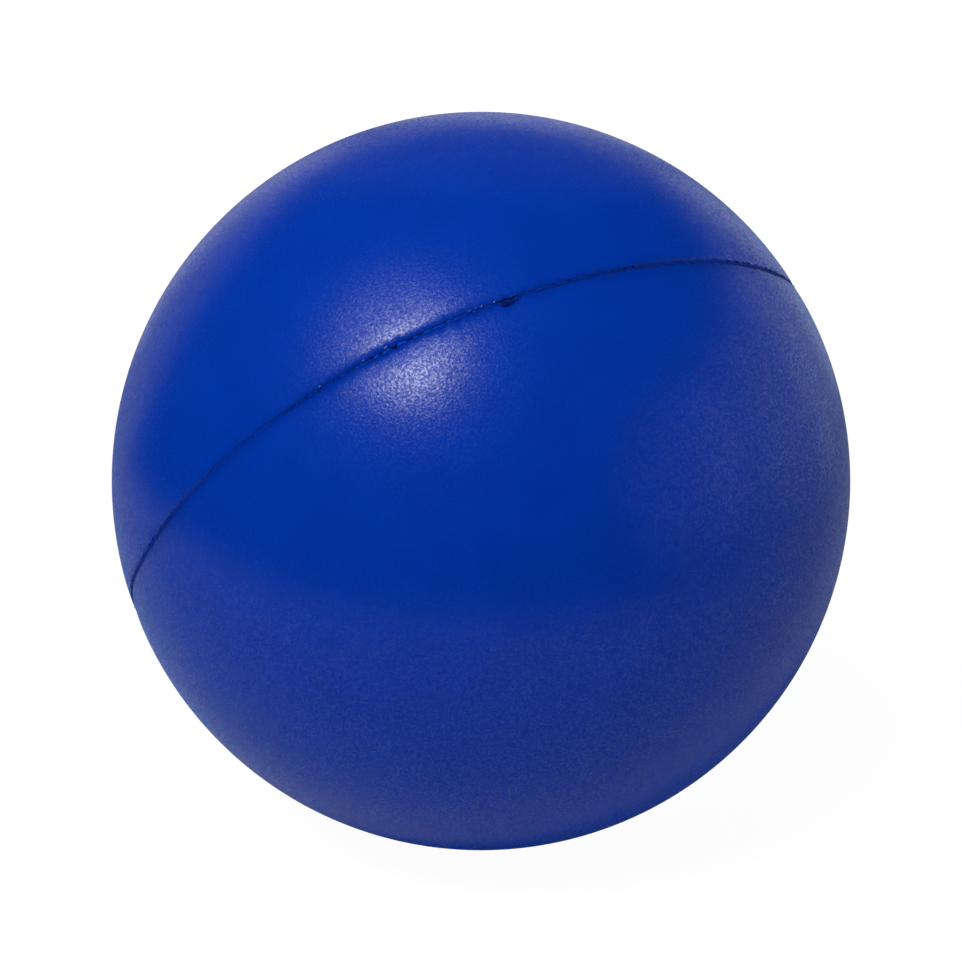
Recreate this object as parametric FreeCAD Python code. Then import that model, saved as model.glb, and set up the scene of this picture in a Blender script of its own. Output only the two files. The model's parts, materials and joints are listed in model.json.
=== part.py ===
import FreeCAD, Part

import math
import os

Vector = FreeCAD.Vector

# A stress ball: one pour of flexible foam in a two-part mould, with a skin formed against each mould half.
# Millimetres. The origin is the ball's centre and +Z is up as it lies. Each piece is drawn about its own
# +Z, the normal of the mould's parting plane, and then leaned to the way the ball lies.

# Driving dimensions
BALL_DIAMETER = 63.5
SKIN_THICKNESS = 1.2
PARTING_LEAN = 45.0  # degrees from +Z towards +Y, from the parting plane's normal in the drawing to where it lies

# The open line between the two skins
CRACK_WIDTH = 0.4
UPPER_LIP_RADIUS = 0.3
LOWER_LIP_RADIUS = 0.9
SKIN_CLEARANCE = 0.05  # between each skin and the core, which move apart

# The thin fin of foam that was left between the mould halves, trimmed below the ball's surface
FLASH_THICKNESS = 0.16
FLASH_TRIM_DEPTH = 0.5

# The nick in the lower lip where the vent's sprue was torn off, and the sprue's stub
NICK_ANGLE = -111.0  # degrees round the parting plane's normal from +X
NICK_LENGTH = 1.6
NICK_RADIUS = 0.3
STUB_WIDTH = 0.8
STUB_REACH = 0.25  # how far the stub stands out past the trimmed flash

BALL_RADIUS = BALL_DIAMETER / 2
SKIN_INNER_RADIUS = BALL_RADIUS - SKIN_THICKNESS
CORE_RADIUS = SKIN_INNER_RADIUS - SKIN_CLEARANCE
FLASH_RADIUS = BALL_RADIUS - FLASH_TRIM_DEPTH

ORIGIN = Vector(0, 0, 0)
PARTING_NORMAL = Vector(0, 0, 1)


def on_circle(radius, angle, centre=(0.0, 0.0)):
    """A point of the drawing's section: its distance from the axis and its height, at an angle from level."""
    return Vector(centre[0] + radius * math.cos(angle), 0, centre[1] + radius * math.sin(angle))


def half_skin(side, lip_radius):
    """The skin from one mould half, above the parting plane, or below it where side is -1.

    Its section is a quarter ring whose outer corner rolls into the crack with the lip's radius.
    """
    face_height = CRACK_WIDTH / 2
    lip_height = face_height + lip_radius
    to_lip_centre = BALL_RADIUS - lip_radius
    lip_angle = math.asin(lip_height / to_lip_centre)
    lip_centre = (to_lip_centre * math.cos(lip_angle), lip_height)
    inner_angle = math.asin(face_height / SKIN_INNER_RADIUS)
    face_angle = -math.pi / 2
    pole_angle = math.pi / 2

    face_inner = on_circle(SKIN_INNER_RADIUS, inner_angle)
    face_outer = on_circle(lip_radius, face_angle, lip_centre)
    lip_middle = on_circle(lip_radius, (face_angle + lip_angle) / 2, lip_centre)
    lip_top = on_circle(BALL_RADIUS, lip_angle)
    outer_middle = on_circle(BALL_RADIUS, (lip_angle + pole_angle) / 2)
    outer_pole = on_circle(BALL_RADIUS, pole_angle)
    inner_pole = on_circle(SKIN_INNER_RADIUS, pole_angle)
    inner_middle = on_circle(SKIN_INNER_RADIUS, (inner_angle + pole_angle) / 2)
    section = Part.Wire(
        [
            Part.makeLine(face_inner, face_outer),
            Part.Arc(face_outer, lip_middle, lip_top).toShape(),
            Part.Arc(lip_top, outer_middle, outer_pole).toShape(),
            Part.makeLine(outer_pole, inner_pole),
            Part.Arc(inner_pole, inner_middle, face_inner).toShape(),
        ]
    )
    skin = Part.Face(section).revolve(ORIGIN, PARTING_NORMAL, 360)
    if side < 0:
        skin.rotate(ORIGIN, Vector(1, 0, 0), 180)
    return skin


def nick_point(radius, height):
    """A point at the nick's angle, at a radius from the ball's axis and a height over the parting plane."""
    angle = math.radians(NICK_ANGLE)
    return Vector(radius * math.cos(angle), radius * math.sin(angle), height)


def along_crack():
    """The direction that the crack runs in at the nick."""
    angle = math.radians(NICK_ANGLE)
    return Vector(-math.sin(angle), math.cos(angle), 0)


def nick():
    """The round-ended gouge that the torn sprue left along the lower lip."""
    straight_length = NICK_LENGTH - 2 * NICK_RADIUS
    middle = nick_point(BALL_RADIUS - NICK_RADIUS / 2, -CRACK_WIDTH / 2 - NICK_RADIUS)
    ends = [middle - along_crack() * (straight_length / 2), middle + along_crack() * (straight_length / 2)]
    gouge = Part.makeCylinder(NICK_RADIUS, straight_length, ends[0], along_crack())
    for end in ends:
        gouge = gouge.fuse(Part.makeSphere(NICK_RADIUS, end))
    return gouge.removeSplitter()


def sprue_stub():
    """What is left of the vent's sprue: a short tongue that stands out past the trimmed flash."""
    reach = FLASH_RADIUS + STUB_REACH - CORE_RADIUS
    stub = Part.makeBox(reach, STUB_WIDTH, FLASH_THICKNESS)
    stub.translate(Vector(CORE_RADIUS, -STUB_WIDTH / 2, -FLASH_THICKNESS / 2))
    stub.rotate(ORIGIN, PARTING_NORMAL, NICK_ANGLE)
    return stub


def parting_flash():
    """The washer-shaped fin in the crack, from the core's surface out to its trimmed edge."""
    fin = Part.makeCylinder(FLASH_RADIUS, FLASH_THICKNESS, Vector(0, 0, -FLASH_THICKNESS / 2))
    return fin.fuse(sprue_stub()).removeSplitter().cut(Part.makeSphere(CORE_RADIUS))


def as_it_lies(shape):
    """The piece leaned from the drawing to the way that the ball lies."""
    leaned = shape.copy()
    leaned.rotate(ORIGIN, Vector(1, 0, 0), -PARTING_LEAN)
    return leaned


NODES = {
    "upper_skin": half_skin(1, UPPER_LIP_RADIUS),
    "lower_skin": half_skin(-1, LOWER_LIP_RADIUS).cut(nick()),
    "foam_core": Part.makeSphere(CORE_RADIUS),
    "parting_flash": parting_flash(),
}

os.makedirs("parts", exist_ok=True)
for name, shape in NODES.items():
    placed = as_it_lies(shape)
    placed.exportStep(f"parts/{name}.step")
    print(name, "solids", len(placed.Solids), "valid", placed.isValid(), "volume_mm3", round(placed.Volume, 2))
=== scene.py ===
import json
import math

import bpy
import numpy as np
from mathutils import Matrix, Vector, noise


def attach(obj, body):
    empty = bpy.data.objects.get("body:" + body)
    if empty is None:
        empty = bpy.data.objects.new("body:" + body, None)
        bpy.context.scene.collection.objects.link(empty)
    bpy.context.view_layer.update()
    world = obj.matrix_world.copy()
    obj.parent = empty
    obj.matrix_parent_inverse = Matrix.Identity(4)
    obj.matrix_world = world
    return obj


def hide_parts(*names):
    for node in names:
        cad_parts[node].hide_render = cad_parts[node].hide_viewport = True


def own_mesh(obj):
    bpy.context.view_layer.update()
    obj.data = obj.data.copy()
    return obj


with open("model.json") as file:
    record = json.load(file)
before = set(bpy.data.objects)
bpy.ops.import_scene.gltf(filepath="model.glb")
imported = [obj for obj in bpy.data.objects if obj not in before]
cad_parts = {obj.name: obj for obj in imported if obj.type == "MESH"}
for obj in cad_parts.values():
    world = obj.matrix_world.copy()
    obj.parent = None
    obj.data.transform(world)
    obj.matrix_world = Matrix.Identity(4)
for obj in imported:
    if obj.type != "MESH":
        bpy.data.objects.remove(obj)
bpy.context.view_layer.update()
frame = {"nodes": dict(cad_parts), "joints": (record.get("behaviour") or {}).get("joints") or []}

# ---------------------------------------------------------------------------------------------------------
# A foam stress ball, in millimetres. Every piece is drawn about the normal of the mould's parting plane and
# then turned to how the ball lies.

MM = 0.001
SQUEEZE = next(joint for joint in frame["joints"] if joint["name"] == "squeeze")
NORMAL = -Vector(SQUEEZE["axis"]).normalized()  # from the lower skin to the upper skin
LEVEL = Vector((1, 0, 0))  # lies in the parting plane; angles round the crack are counted from it
ACROSS = NORMAL.cross(LEVEL)
TO_ROW = np.array([LEVEL, ACROSS, NORMAL])

BALL_RADIUS = max(vertex.co.length for vertex in frame["nodes"]["upper_skin"].data.vertices) / MM
CORE_RADIUS = max(vertex.co.length for vertex in frame["nodes"]["foam_core"].data.vertices) / MM
CRACK_LENGTH = 2 * math.pi * BALL_RADIUS
SKIN_THICKNESS = 1.2

# ---------------------------------------------------------------------------------------------------------
# Noise that repeats the same way each run


def ripple(seed, shortest, longest):
    """A rough line round the crack, of root mean square 1: a function of the angle, with waves from shortest
    to longest, in millimetres."""
    random = np.random.default_rng(seed)
    waves = np.arange(max(1, round(CRACK_LENGTH / longest)), round(CRACK_LENGTH / shortest))
    sizes = random.normal(size=waves.size) / np.sqrt(waves)
    phases = random.uniform(0, 2 * math.pi, waves.size)
    angles = np.linspace(0, 2 * math.pi, 8192, endpoint=False)
    line = (sizes[:, None] * np.cos(waves[:, None] * angles + phases[:, None])).sum(axis=0)
    line /= line.std()
    return lambda angle: np.interp(angle, angles, line, period=2 * math.pi)


def spikes(seed, count, width):
    """Sparse bumps of height 0.3 to 1 round the crack, each about width millimetres long."""
    random = np.random.default_rng(seed)
    centres = random.uniform(0, 2 * math.pi, count)
    heights = random.uniform(0.3, 1, count)
    widths = width * random.uniform(0.6, 1.5, count) / BALL_RADIUS

    def height(angle):
        away = (np.asarray(angle)[:, None] - centres + math.pi) % (2 * math.pi) - math.pi
        return (heights * np.exp(-((away / widths) ** 2))).max(axis=1)

    return height


def roughened(points, size, amount):
    """A ring's points moved along their own radius by noise of that size and amount."""
    lengths = np.linalg.norm(points[:, :3], axis=1)
    moved = np.array([noise.noise(Vector(point[:3] / size)) for point in points]) * amount
    return points * (1 + moved / lengths)[:, None]


# ---------------------------------------------------------------------------------------------------------
# The course of the crack round the ball, and how it changes on the way

TEAR = 0.03
TEAR_RIPPLE = ripple(3, 0.4, 2.2)
SHUT = 0.01  # the crack never closes further than this on either side

# The slow wave of the crack's course, and where along the crack something changes. Each change is an amount,
# a place and how far it reaches to either side, both in degrees: the vent is at -112, the flanks are at about
# -50 and 165.
WAVE_HEIGHT = 0.15
WAVE_COUNT = 4
WAVE_START = -126
COURSE_KICKS = ((0.3, -66, 30), (1.1, -44, 12), (0.7, 164, 9))
GAPES = ((0.9, -125, 12),)
FLANK_GAPS = ((0.28, -66, 35), (0.24, 172, 22))
# How the painted shade of the crack's groove beside each lip grows or shrinks along the crack
UPPER_PAINTED_SHADE_CHANGES = ((-0.7, -58, 28),)
LOWER_PAINTED_SHADE_CHANGES = ((0.3, -58, 30), (0.2, 166, 20))
UPPER_ROLL_LEAST = 0.35
UPPER_ROLL_CHANGES = ((0.65, -127, 28),)
LOWER_ROLL_LEAST = 0.3
LOWER_ROLL_CHANGES = ((0.7, -127, 30),)

# The vent: a lens torn out of the lower lip
NICK_ANGLE = math.radians(-111.8)
NICK_LENGTH = 2.0
NICK_WIDTH = 0.42
NICK_SKEW = 0.8  # how much wider the lens is at one end than at the other

# Nubs of torn skin on the upper lip
BURR_WIDTH = 0.11
BURR_HEIGHT = 0.13
BURR_COUNT = 150
BURRS = spikes(5, BURR_COUNT, BURR_WIDTH)


def near(angle, degrees, width):
    """1 at a place round the crack, falling away to 0 over width degrees."""
    away = (np.degrees(angle) - degrees + 180) % 360 - 180
    return np.exp(-((away / width) ** 2))


def changed(angle, usual, changes):
    """A usual value, and what the changes along the crack add to it."""
    return usual + sum(amount * near(angle, degrees, width) for amount, degrees, width in changes)


def parting_wave(angle):
    """How far the crack runs off the plane: a slow wave, and kicks upwards on the flanks."""
    wave = WAVE_HEIGHT * np.cos(WAVE_COUNT * (angle - math.radians(WAVE_START)))
    return changed(angle, wave, COURSE_KICKS)


def torn_edge(angle):
    """The ragged course of the torn edge."""
    return TEAR * TEAR_RIPPLE(angle)


def gape(angle):
    """How far the crack opens, as a share of the usual: widest beside the vent."""
    return changed(angle, 1, GAPES)


def flank_gap(angle):
    """How much further the lower lip stands back on the two flanks, where the flash fills the crack."""
    return changed(angle, 0, FLANK_GAPS)


def upper_painted_shade_spread(angle):
    """How strong and how wide the upper lip's strip of painted shade is, as a share of the usual: least on
    one flank.
    """
    return changed(angle, 1, UPPER_PAINTED_SHADE_CHANGES)


def lower_painted_shade_spread(angle):
    """The same for the lower lip: most on the two flanks."""
    return changed(angle, 1, LOWER_PAINTED_SHADE_CHANGES)


def upper_roll(angle):
    """The upper lip rolls in most beside the vent and is nearly square elsewhere."""
    return changed(angle, UPPER_ROLL_LEAST, UPPER_ROLL_CHANGES)


def lower_roll(angle):
    """The lower lip rolls in a little all round, and most beside the vent."""
    return changed(angle, LOWER_ROLL_LEAST, LOWER_ROLL_CHANGES)


def nick(angle):
    """How far the torn vent cuts the lower lip back: a lens, wider at one end."""
    away = (angle - NICK_ANGLE + math.pi) % (2 * math.pi) - math.pi
    share = np.clip(away * BALL_RADIUS / (NICK_LENGTH / 2), -1, 1)
    return NICK_WIDTH * (1 - share**2) * (1 - NICK_SKEW * share)


def burrs(angle):
    """How high the nubs of torn skin stand along the upper lip."""
    return BURR_HEIGHT * BURRS(angle)


# ---------------------------------------------------------------------------------------------------------
# Meshes made of rings round the parting plane's normal. Each point has a fourth number: how much painted
# shade it gets, on a skin and on the flash.

WAVE_REACH = 8.0
TEAR_REACH = 0.4


def ring(angle, height, depth, side=1, worn=0.0):
    """Points round the ball: height is the distance from the crack's course along the ball's surface, and
    depth the distance below that surface. The crack's own course dies out towards the pole."""
    height = np.asarray(height)
    away = np.abs(height)
    shift = parting_wave(angle) * np.exp(-away / WAVE_REACH)
    shift = shift + torn_edge(angle) * np.exp(-away / TEAR_REACH)
    latitude = (side * height + shift) / BALL_RADIUS
    radius = BALL_RADIUS - np.asarray(depth)
    level = radius * np.cos(latitude)
    rise = np.broadcast_to(radius * np.sin(latitude), angle.shape)
    worn = np.broadcast_to(worn, angle.shape)
    return np.column_stack([level * np.cos(angle), level * np.sin(angle), rise, worn])


def pole(height):
    """The one point of a ring at a pole."""
    return np.array([[0.0, 0.0, height, 0.0]])


def ring_angles(height, spacing):
    """Evenly spaced angles round the ball at a height over the parting plane."""
    length = CRACK_LENGTH * math.cos(height / BALL_RADIUS)
    return np.linspace(0, 2 * math.pi, max(6, round(length / spacing)), endpoint=False)


def growing_steps(first, growth, longest, end):
    """Distances from 0 to end whose steps grow from first to longest."""
    distances = [0.0]
    step = first
    while distances[-1] + step < end:
        distances.append(distances[-1] + step)
        step = min(step * growth, longest)
    return distances


def between_rings(first, first_count, second, second_count):
    """Triangles between two rings whose points may differ in number. A ring of one point is a pole."""
    faces = []
    i = 0
    j = 0
    first_steps = first_count if first_count > 1 else 0
    second_steps = second_count if second_count > 1 else 0
    while i < first_steps or j < second_steps:
        here = (first + i % first_count, second + j % second_count)
        first_is_next = (i + 1) * second_count <= (j + 1) * first_count
        if j >= second_steps or (i < first_steps and first_is_next):
            i += 1
            faces.append((here[0], first + i % first_count, here[1]))
        else:
            j += 1
            faces.append((here[0], second + j % second_count, here[1]))
    return faces


def lofted(name, rings, wrap=False, inside_out=False):
    """A closed mesh through rings of points, its last ring joined to its first where wrap is true. It keeps
    each point's place on the relaxed ball and how much painted shade it gets, for the materials."""
    starts = np.cumsum([0] + [len(points) for points in rings])
    pairs = [(i, i + 1) for i in range(len(rings) - 1)]
    if wrap:
        pairs.append((len(rings) - 1, 0))
    faces = []
    for a, b in pairs:
        faces += between_rings(int(starts[a]), len(rings[a]), int(starts[b]), len(rings[b]))
    if inside_out:
        faces = [face[::-1] for face in faces]
    points = np.vstack(rings)
    placed = points[:, :3] @ TO_ROW
    mesh = bpy.data.meshes.new(name)
    mesh.from_pydata(placed * MM, [], faces)
    mesh.shade_smooth()
    rest = mesh.attributes.new("rest_mm", "FLOAT_VECTOR", "POINT")
    rest.data.foreach_set("vector", placed.astype(np.float32).ravel())
    worn = mesh.attributes.new("worn", "FLOAT", "POINT")
    worn.data.foreach_set("value", points[:, 3].astype(np.float32))
    piece = bpy.data.objects.new(name, mesh)
    bpy.context.scene.collection.objects.link(piece)
    return piece


# ---------------------------------------------------------------------------------------------------------
# The two skins

FINE_SPACING = 0.12
COARSE_SPACING = 0.33
SPACING_GROWTH = 0.12  # of the points' spacing, per millimetre from the crack
FIRST_STEP = 0.03
STEP_GROWTH = 1.12
WALL_COARSENING = 0.3  # how much wider the points stand at the foot of the wall than at the edge
INNER_SPACING = 1.4
POLE_GAP = 0.15
EDGE_FADE = 1.5  # how far from the crack the shape of the edge is still felt
WALL_SHARES = (0.05, 0.12, 0.25, 0.45, 0.7, 1.0)
EDGE_WANDER = 0.3  # shares by which an edge wanders, is ragged and changes its roll on the way
EDGE_RAGGEDNESS = 0.5
ROLL_CHANGE = 0.12


class Lip:
    """How one skin ends at the crack: a long roll into it, then a short round, then the wall. Beside the edge
    its colour is darkened by painted shade of the crack's groove. Roll, rounding and painted shade are each a
    size and how far it reaches."""

    def __init__(self, side, edge, roll_share, roll, rounding, painted_shade_spread, worn, undercut, seed):
        self.side = side
        self.edge_height = edge
        self.roll_share = roll_share
        self.roll_depth, self.roll_length = roll
        self.round_depth, self.round_length = rounding
        self.painted_shade_spread = painted_shade_spread
        self.worn_share, self.painted_shade_length = worn
        self.undercut = undercut
        self.wander = ripple(seed, 4, 30)
        self.ragged = ripple(seed + 1, 0.35, 2.5)
        self.roll_change = ripple(seed + 2, 6, 40)

    def edge(self, angle):
        """Distance of the edge from the crack's course."""
        rough = 1 + EDGE_WANDER * self.wander(angle) + EDGE_RAGGEDNESS * self.ragged(angle)
        return np.maximum(self.edge_height * rough * gape(angle), SHUT)

    def depth(self, angle, distance):
        """How far the skin lies below the ball's surface, at a distance from the edge."""
        roll = self.roll_depth * (1 + ROLL_CHANGE * self.roll_change(angle)) * self.roll_share(angle)
        roll = roll * np.exp(-distance / self.roll_length)
        return roll + self.round_depth * np.exp(-distance / self.round_length)

    def worn(self, angle, distance):
        """How much painted shade darkens the skin, at a distance from the edge."""
        spread = self.painted_shade_spread(angle)
        return self.worn_share * spread * np.exp(-distance / (self.painted_shade_length * spread))


UPPER_LIP = Lip(
    side=1,
    edge=0.04,
    roll_share=upper_roll,
    roll=(0.24, 0.65),
    rounding=(0.04, 0.14),
    painted_shade_spread=upper_painted_shade_spread,
    # painted shade beside the edge: its share and how far it reaches
    worn=(0.45, 0.2),
    undercut=0.12,
    seed=11,
)
LOWER_LIP = Lip(
    side=-1,
    edge=0.05,
    roll_share=lower_roll,
    roll=(0.32, 0.9),
    rounding=(0.03, 0.12),
    painted_shade_spread=lower_painted_shade_spread,
    # painted shade beside the edge: its share and how far it reaches
    worn=(0.55, 0.45),
    undercut=0.0,
    seed=23,
)


def lower_edge(angle):
    """Distance of the lower lip's edge from the crack's course: it stands back at the vent and the flanks."""
    return LOWER_LIP.edge(angle) + nick(angle) + flank_gap(angle)


def outer_rings(lip, edge, raised=None):
    """The seen side of a skin, from its pole to its edge. Raised bumps stand up along the edge."""
    rings = [pole(lip.side * BALL_RADIUS)]
    quarter = CRACK_LENGTH / 4
    for distance in reversed(growing_steps(FIRST_STEP, STEP_GROWTH, COARSE_SPACING, quarter - POLE_GAP)):
        spacing = min(COARSE_SPACING, FINE_SPACING + SPACING_GROWTH * distance)
        angle = ring_angles(distance, spacing)
        height = distance + edge(angle) * np.exp(-distance / EDGE_FADE)
        depth = lip.depth(angle, distance)
        if raised:
            depth = depth - raised(angle) * np.exp(-((distance / BURR_WIDTH) ** 2))
        # each point carries the painted shade of the crack's groove
        rings.append(ring(angle, height, depth, lip.side, lip.worn(angle, distance)))
    return rings


def wall_rings(lip, edge):
    """The wall of the crack, from the edge in to the skin's inner side."""
    rings = []
    for share in WALL_SHARES:
        angle = ring_angles(0, FINE_SPACING + WALL_COARSENING * share)
        edge_depth = lip.depth(angle, 0.0)
        depth = edge_depth + share * (SKIN_THICKNESS - edge_depth)
        # the crack's wall gets the full painted shade
        rings.append(ring(angle, edge(angle) + lip.undercut * share, depth, lip.side, 1.0))
    return rings


def inner_rings(lip):
    """The hidden side of a skin, against the core, from the crack to the pole."""
    rings = []
    quarter = CRACK_LENGTH / 4
    for height in np.arange(INNER_SPACING, quarter - INNER_SPACING / 2, INNER_SPACING):
        angle = ring_angles(height, INNER_SPACING)
        rings.append(ring(angle, height, SKIN_THICKNESS, lip.side))
    rings.append(pole(lip.side * (BALL_RADIUS - SKIN_THICKNESS)))
    return rings


def skin(name, lip, edge, raised=None):
    """One half's skin: a closed shell with its seen side, the wall of the crack and its hidden side."""
    rings = outer_rings(lip, edge, raised) + wall_rings(lip, edge) + inner_rings(lip)
    return lofted(name, rings, inside_out=lip.side < 0)


# ---------------------------------------------------------------------------------------------------------
# The foam body and the flash

CORE_CLEARANCE = 0.12  # keeps the rough core inside the skins
CORE_ROUGHNESS = 0.1
CORE_LUMP = 2.2
CORE_SPACING = 0.95
CORE_LATITUDES = 100
FLASH_SPACING = 0.13
FLASH_TUCK = 0.03  # how far the flash runs in under each lip
FLASH_ROOT = 0.1  # how far the flash runs into the core
FLASH_TEAR = ripple(41, 0.4, 3)
HOLE_PLACE = -129
HOLE_REACH = 6
HOLE_DEPTH = 0.15
VENT_DEPTH = 0.1
DARK_DEPTH = 0.16  # foam sunk this far or more gets the full painted shade
FILL_DARKENING = 3.5  # how fast painted shade grows on the foam that fills the opened flanks, with the gap, per millimetre
FILL_DARKEST = 0.45


def foam_core():
    """The ball of open-cell foam under the skins."""
    radius = CORE_RADIUS - CORE_CLEARANCE
    rings = [pole(radius)]
    for latitude in np.linspace(math.pi / 2, -math.pi / 2, CORE_LATITUDES)[1:-1]:
        level = radius * math.cos(latitude)
        count = max(6, round(2 * math.pi * level / CORE_SPACING))
        angle = np.linspace(0, 2 * math.pi, count, endpoint=False)
        height = np.full(count, radius * math.sin(latitude))
        points = [level * np.cos(angle), level * np.sin(angle), height, np.zeros(count)]
        rings.append(np.column_stack(points))
    rings.append(pole(-radius))
    rings = [roughened(points, CORE_LUMP, CORE_ROUGHNESS) for points in rings]
    return lofted("foam_core_cells", rings)


def parting_flash():
    """The torn film of foam in the crack: flush with the lips, torn open in short holes beside the vent, and
    sunk where it fills the vent."""
    angle = ring_angles(0, FLASH_SPACING)
    holes = np.maximum(FLASH_TEAR(angle), 0) * near(angle, HOLE_PLACE, HOLE_REACH)
    sink = HOLE_DEPTH * holes + VENT_DEPTH * nick(angle) / NICK_WIDTH
    upper_top = UPPER_LIP.depth(angle, 0.0) + sink
    lower_top = LOWER_LIP.depth(angle, 0.0) + sink
    centre = (upper_top + lower_top) / 2
    bottom = np.full(angle.size, BALL_RADIUS - CORE_RADIUS + FLASH_ROOT)
    middle = (centre + bottom) / 2
    over = UPPER_LIP.edge(angle) + FLASH_TUCK
    under = -lower_edge(angle) - FLASH_TUCK
    section = [
        (bottom, over),
        (middle, over),
        (upper_top, over),
        (centre, np.zeros(angle.size)),
        (lower_top, under),
        (middle, under),
        (bottom, under),
    ]
    # Painted shade on the flash: darker where it is sunk and where it fills the opened flanks.
    filled = np.minimum(FILL_DARKENING * flank_gap(angle), FILL_DARKEST)
    dark = np.clip(sink / DARK_DEPTH + filled, 0, 1)
    rings = [ring(angle, height, depth, worn=dark) for depth, height in section]
    return lofted("torn_flash", rings, wrap=True)


# ---------------------------------------------------------------------------------------------------------
# Materials. Patterns are scaled in cells or waves per millimetre.


def material(name, **settings):
    """A new material, its node tree and its shader, with settings on the shader's own sockets."""
    made = bpy.data.materials.new(name)
    made.use_nodes = True
    tree = made.node_tree
    shader = tree.nodes["Principled BSDF"]
    for socket, value in settings.items():
        shader.inputs[socket.replace("_", " ")].default_value = value
    return made, tree, shader


def node(tree, kind, inputs=None, **properties):
    """A new node. Each of its inputs is a number, a colour, or another node's output to link to it."""
    made = tree.nodes.new(kind)
    for name, value in properties.items():
        setattr(made, name, value)
    for socket, value in (inputs or {}).items():
        if isinstance(value, bpy.types.NodeSocket):
            tree.links.new(value, made.inputs[socket])
        else:
            made.inputs[socket].default_value = value
    return made


def rest_position(tree):
    """The point's place on the relaxed ball, in millimetres, so that a pattern stays on it in a squeeze."""
    return node(tree, "ShaderNodeAttribute", attribute_name="rest_mm").outputs["Vector"]


def worn_share(tree):
    """The fourth number of the mesh's points: how much painted shade the skin or the flash gets."""
    return node(tree, "ShaderNodeAttribute", attribute_name="worn").outputs["Fac"]


def smooth_step(tree, value, low, high, result_low=0.0, result_high=1.0):
    """The value eased from one range to another."""
    inputs = {"Value": value, "From Min": low, "From Max": high, "To Min": result_low, "To Max": result_high}
    return node(tree, "ShaderNodeMapRange", inputs, interpolation_type="SMOOTHSTEP").outputs["Result"]


def noise_value(tree, place, scale, detail=2.0):
    """Smooth noise from about 0.2 to 0.8."""
    inputs = {"Vector": place, "Scale": scale, "Detail": detail}
    return node(tree, "ShaderNodeTexNoise", inputs).outputs["Fac"]


def cells(tree, place, scale):
    """Distance to the nearest of random points, in shares of a cell."""
    inputs = {"Vector": place, "Scale": scale, "Randomness": 0.95}
    return node(tree, "ShaderNodeTexVoronoi", inputs, feature="F1").outputs["Distance"]


def bump(tree, height, depth_mm, below=None):
    """A surface that is depth_mm lower where height is 0 than where it is 1."""
    inputs = {"Height": height, "Distance": depth_mm * MM, "Strength": 1.0}
    if below is not None:
        inputs["Normal"] = below
    return node(tree, "ShaderNodeBump", inputs).outputs["Normal"]


def mixed_colour(tree, share, first, second):
    """Share 0 gives the first colour and 1 the second; either may be a socket or red, green and blue."""
    mix = node(tree, "ShaderNodeMix", data_type="RGBA")
    for socket, value in (("Factor", share), ("A", first), ("B", second)):
        target = next(s for s in mix.inputs if s.name == socket and s.enabled)
        if isinstance(value, bpy.types.NodeSocket):
            tree.links.new(value, target)
        else:
            target.default_value = (*value, 1)
    return next(s for s in mix.outputs if s.enabled)


SKIN_BLUE = (0.0, 0.044, 0.462)
SKIN_BLUE_DEEP = (0.0, 0.040, 0.431)
# the colour under full painted shade, in the crack's groove beside the lips and on its wall
SKIN_BLUE_PAINTED_SHADE = (0.0, 0.013, 0.167)
SHEEN = 0.2
SHEEN_BLUE = (0.03, 0.3, 1, 1)
PATCH_SCALE = 0.25
PIT_SCALE = 3.8
PIT_DEPTH = 0.003
FINE_SCALE = 6.0
FINE_DEPTH = 0.008
GRAIN_SCALE = 5.2
GLOSS_DULL = 0.25
GLOSS_BRIGHT = 1.0
GLOSS_LEFT = 0.1  # the share of the gloss that is left where the painted shade is full
PIT_SHARE_UNDER_GLOSS = 0.15  # how much of the pits' depth shows in the matt coat
COAT_ROUGHNESS = (0.22, 0.30)

# Each foam's second colour is painted shade in its cells' holes.
CELL_BLUE = (0.01, 0.06, 0.42)
CELL_BLUE_HOLE_SHADE = (0.0, 0.02, 0.2)
FLASH_BLUE = (0.0, 0.046, 0.475)
FLASH_BLUE_HOLE_SHADE = (0.0, 0.037, 0.387)
# painted shade for the sunk flash and the foam that fills the opened flanks
FOAM_PAINTED_SHADE_BLUE = (0.003, 0.010, 0.13)


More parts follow.
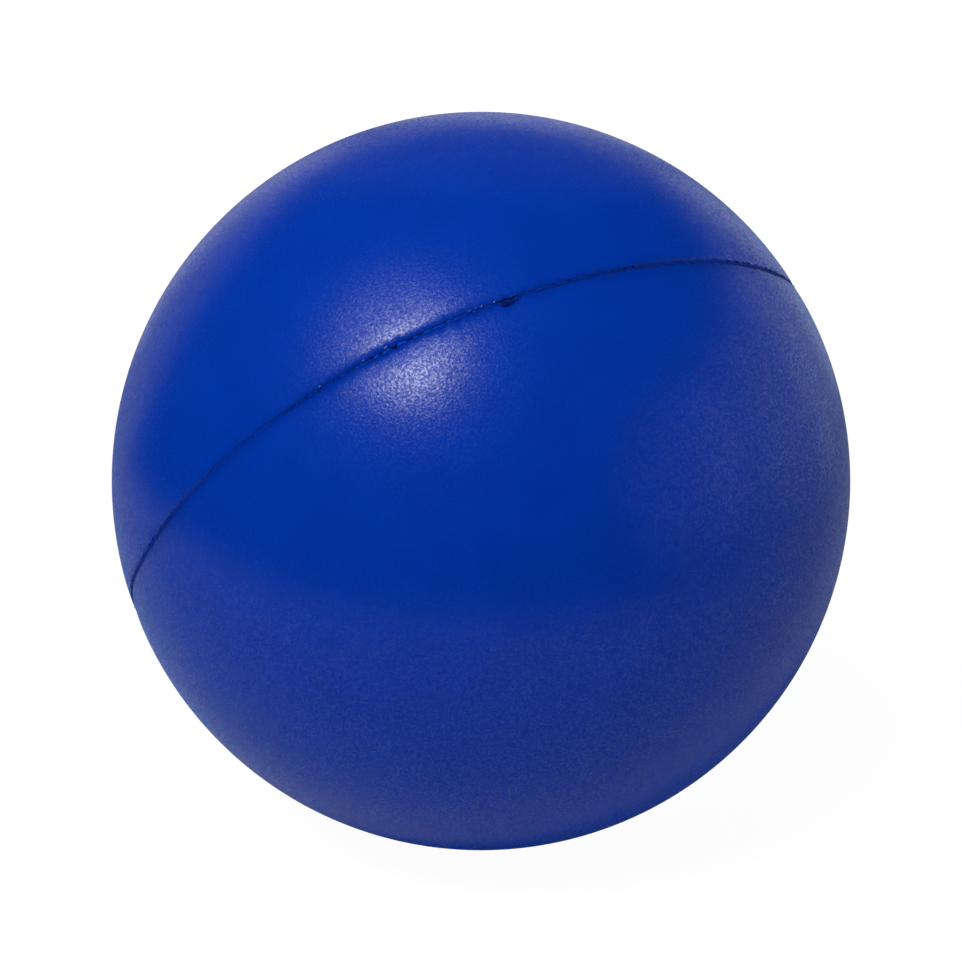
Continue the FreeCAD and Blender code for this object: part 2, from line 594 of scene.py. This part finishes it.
def skin_material():
    """A matt colour coat with faint flow marks over foam, and a clear gloss broken up by pinholes and a fine
    grain. Beside the crack, painted shade darkens the colour and takes away most of the gloss and all of the
    sheen."""
    made, tree, shader = material(
        "foam_skin",
        Specular_IOR_Level=0.0,
        Roughness=0.9,
        Coat_IOR=1.43,
        Sheen_Roughness=0.4,
        Sheen_Tint=SHEEN_BLUE,
    )
    place = rest_position(tree)
    worn = worn_share(tree)
    pits = smooth_step(tree, cells(tree, place, PIT_SCALE), 0.1, 0.6)
    fine = noise_value(tree, place, FINE_SCALE)
    coat_normal = bump(tree, pits, PIT_DEPTH, below=bump(tree, fine, FINE_DEPTH))
    tree.links.new(coat_normal, shader.inputs["Coat Normal"])
    tree.links.new(bump(tree, pits, PIT_SHARE_UNDER_GLOSS * PIT_DEPTH), shader.inputs["Normal"])

    patches = smooth_step(tree, noise_value(tree, place, PATCH_SCALE, 4.0), 0.3, 0.7)
    blue = mixed_colour(tree, patches, SKIN_BLUE_DEEP, SKIN_BLUE)
    # painted shade of the crack's groove darkens the colour beside the lips
    tree.links.new(mixed_colour(tree, worn, blue, SKIN_BLUE_PAINTED_SHADE), shader.inputs["Base Color"])

    rough = smooth_step(tree, fine, 0.25, 0.75, *COAT_ROUGHNESS)
    tree.links.new(rough, shader.inputs["Coat Roughness"])
    grain = noise_value(tree, place, GRAIN_SCALE, 1.0)
    gloss = smooth_step(tree, grain, 0.35, 0.75, GLOSS_DULL, GLOSS_BRIGHT)
    # painted shade also takes away most of the gloss and all of the sheen
    outside_painted_shade = smooth_step(tree, worn, 0.0, 1.0, 1.0, GLOSS_LEFT)
    weight = node(tree, "ShaderNodeMath", {0: gloss, 1: outside_painted_shade}, operation="MULTIPLY").outputs["Value"]
    tree.links.new(weight, shader.inputs["Coat Weight"])
    tree.links.new(smooth_step(tree, worn, 0.0, 1.0, SHEEN, 0.0), shader.inputs["Sheen Weight"])
    return made


def foam_material(name, light, dark, scale, depth_mm):
    """Open or torn foam: cells with thin walls, with painted shade in the holes and where the mesh's fourth
    number calls for it. A trace of gloss lets it take on some of the haze of the ball's limbs."""
    made, tree, shader = material(name, Specular_IOR_Level=0.0, Coat_Weight=0.12, Coat_Roughness=0.4)
    place = rest_position(tree)
    open_cells = smooth_step(tree, cells(tree, place, scale), 0.1, 0.6)
    tree.links.new(bump(tree, open_cells, depth_mm), shader.inputs["Normal"])
    # painted shade in the cells' holes, then the painted shade that the mesh carries
    foam = mixed_colour(tree, open_cells, dark, light)
    tree.links.new(mixed_colour(tree, worn_share(tree), foam, FOAM_PAINTED_SHADE_BLUE), shader.inputs["Base Color"])
    rough = smooth_step(tree, noise_value(tree, place, scale), 0.2, 0.8, 0.7, 0.95)
    tree.links.new(rough, shader.inputs["Roughness"])
    return made


# ---------------------------------------------------------------------------------------------------------
# The pieces, each riding on its body


def finished(piece, surface, body, cad_node):
    """Gives a piece its material and its body, hides the CAD piece that it stands in for and gives it its own
    mesh."""
    piece.data.materials.append(surface)
    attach(piece, body)
    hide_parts(cad_node)
    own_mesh(piece)


skin_surface = skin_material()
foam_surface = foam_material("open_cell_foam", CELL_BLUE, CELL_BLUE_HOLE_SHADE, scale=1.6, depth_mm=0.15)
flash_surface = foam_material("torn_foam", FLASH_BLUE, FLASH_BLUE_HOLE_SHADE, scale=3.5, depth_mm=0.02)

upper_shell = skin("upper_skin_shell", UPPER_LIP, UPPER_LIP.edge, burrs)
lower_shell = skin("lower_skin_shell", LOWER_LIP, lower_edge)
finished(upper_shell, skin_surface, "upper_half", "upper_skin")
finished(lower_shell, skin_surface, "lower_half", "lower_skin")
finished(foam_core(), foam_surface, "core", "foam_core")
finished(parting_flash(), flash_surface, "core", "parting_flash")

# ---------------------------------------------------------------------------------------------------------
# Studio: camera, floor and soft light

CAMERA_AZIMUTH = -34.5
CAMERA_ELEVATION = 16.65
CAMERA_DISTANCE = 5 * BALL_RADIUS * MM
SENSOR_WIDTH = 36.0
LENS = 67.71

FLOOR_RADIUS = 0.2
FLOOR_SIDES = 128
FLOOR_BEHIND = 0.1  # the floor's centre lies this far behind the ball, as the camera sees it
FLOOR_GREY = 0.75
FLOOR_GLOW = 0.88  # the share of plain white in what the camera sees of the floor
WHITE = (1, 1, 1, 1)
WHITE_STRENGTH = 1.1
DARK_STRENGTH = 0.005

LAMP_DISTANCE = 0.6

# Each lamp's name, azimuth, elevation, the angle it spans and its radiance. The key makes the bright patch on
# the upper left: a small bright lamp, a soft box round it and a wide wash. The hair light stands behind.
LAMPS = (
    ("key", -61, 45, 10, 31),
    ("key_soft_box", -62, 50, 24, 7),
    ("key_wash", -76, 53, 34, 3),
    ("hair_light", 145, 45, 50, 0.15),
)

# An even ring of wide, dim lamps from the right side round the back lights the ball's limbs.
RIM_START = 30
RIM_STEP = 25
RIM_COUNT = 7
RIM_ELEVATION = 9
RIM_ANGLE = 44
RIM_RADIANCE = 0.45


def direction(azimuth, elevation):
    """From the ball towards a place round it; azimuth 0 is the front, and both are in degrees."""
    around = math.radians(azimuth)
    up = math.radians(elevation)
    return Vector((math.sin(around) * math.cos(up), -math.cos(around) * math.cos(up), math.sin(up)))


def facing_ball(made, towards, distance):
    """Puts a camera or a light that way from the ball, looking at it."""
    made.location = towards * distance
    made.rotation_euler = (-towards).to_track_quat("-Z", "Y").to_euler()
    bpy.context.scene.collection.objects.link(made)


def add_camera():
    """The camera, looking straight at the ball's centre."""
    data = bpy.data.cameras.new("camera")
    data.lens = LENS
    data.sensor_width = SENSOR_WIDTH
    camera = bpy.data.objects.new("camera", data)
    facing_ball(camera, direction(CAMERA_AZIMUTH, CAMERA_ELEVATION), CAMERA_DISTANCE)
    bpy.context.scene.camera = camera


def add_lamp(name, azimuth, elevation, angle, radiance):
    """A round soft lamp that spans that angle as seen from the ball. The camera doesn't see it."""
    data = bpy.data.lights.new(name, "AREA")
    data.shape = "DISK"
    data.size = 2 * LAMP_DISTANCE * math.tan(math.radians(angle / 2))
    data.energy = radiance * math.pi * (math.pi / 4 * data.size**2)
    lamp = bpy.data.objects.new(name, data)
    facing_ball(lamp, direction(azimuth, elevation), LAMP_DISTANCE)
    lamp.visible_camera = False


def add_lamps():
    """The single lamps and the ring of rim lamps."""
    for lamp in LAMPS:
        add_lamp(*lamp)
    for i in range(RIM_COUNT):
        azimuth = RIM_START + i * RIM_STEP
        add_lamp(f"rim_{i + 1}", azimuth, RIM_ELEVATION, RIM_ANGLE, RIM_RADIANCE)


def white_to_camera(tree, seen, otherwise):
    """One shader for what the camera sees and another for the light that falls on the ball."""
    ray = node(tree, "ShaderNodeLightPath").outputs["Is Camera Ray"]
    return node(tree, "ShaderNodeMixShader", {"Fac": ray, 1: otherwise, 2: seen}).outputs["Shader"]


def add_floor():
    """A plain white round table that the ball lies on."""
    corners = []
    for i in range(FLOOR_SIDES):
        around = 2 * math.pi * i / FLOOR_SIDES
        corners.append((FLOOR_RADIUS * math.cos(around), FLOOR_RADIUS * math.sin(around), 0))
    mesh = bpy.data.meshes.new("floor")
    mesh.from_pydata(corners, [], [tuple(range(FLOOR_SIDES))])
    floor = bpy.data.objects.new("floor", mesh)
    floor.location = direction(CAMERA_AZIMUTH + 180, 0) * FLOOR_BEHIND - Vector((0, 0, BALL_RADIUS * MM))
    bpy.context.scene.collection.objects.link(floor)
    made = bpy.data.materials.new("floor_white")
    made.use_nodes = True
    tree = made.node_tree
    tree.nodes.clear()
    grey = (FLOOR_GREY, FLOOR_GREY, FLOOR_GREY, 1)
    lit = node(tree, "ShaderNodeBsdfDiffuse", {"Color": grey}).outputs["BSDF"]
    glow = node(tree, "ShaderNodeEmission", {"Color": WHITE, "Strength": WHITE_STRENGTH}).outputs["Emission"]
    seen = node(tree, "ShaderNodeMixShader", {"Fac": FLOOR_GLOW, 1: lit, 2: glow}).outputs["Shader"]
    node(tree, "ShaderNodeOutputMaterial", {"Surface": white_to_camera(tree, seen, lit)})
    mesh.materials.append(made)


def add_world():
    """White where the camera looks past the ball, and nearly dark to the ball itself."""
    world = bpy.data.worlds.new("studio")
    world.use_nodes = True
    tree = world.node_tree
    tree.nodes.clear()
    dark = node(tree, "ShaderNodeBackground", {"Color": WHITE, "Strength": DARK_STRENGTH})
    white = node(tree, "ShaderNodeBackground", {"Color": WHITE, "Strength": WHITE_STRENGTH})
    surface = white_to_camera(tree, white.outputs["Background"], dark.outputs["Background"])
    node(tree, "ShaderNodeOutputWorld", {"Surface": surface})
    bpy.context.scene.world = world


add_camera()
add_floor()
add_world()
add_lamps()
bpy.context.scene.view_settings.view_transform = "Standard"
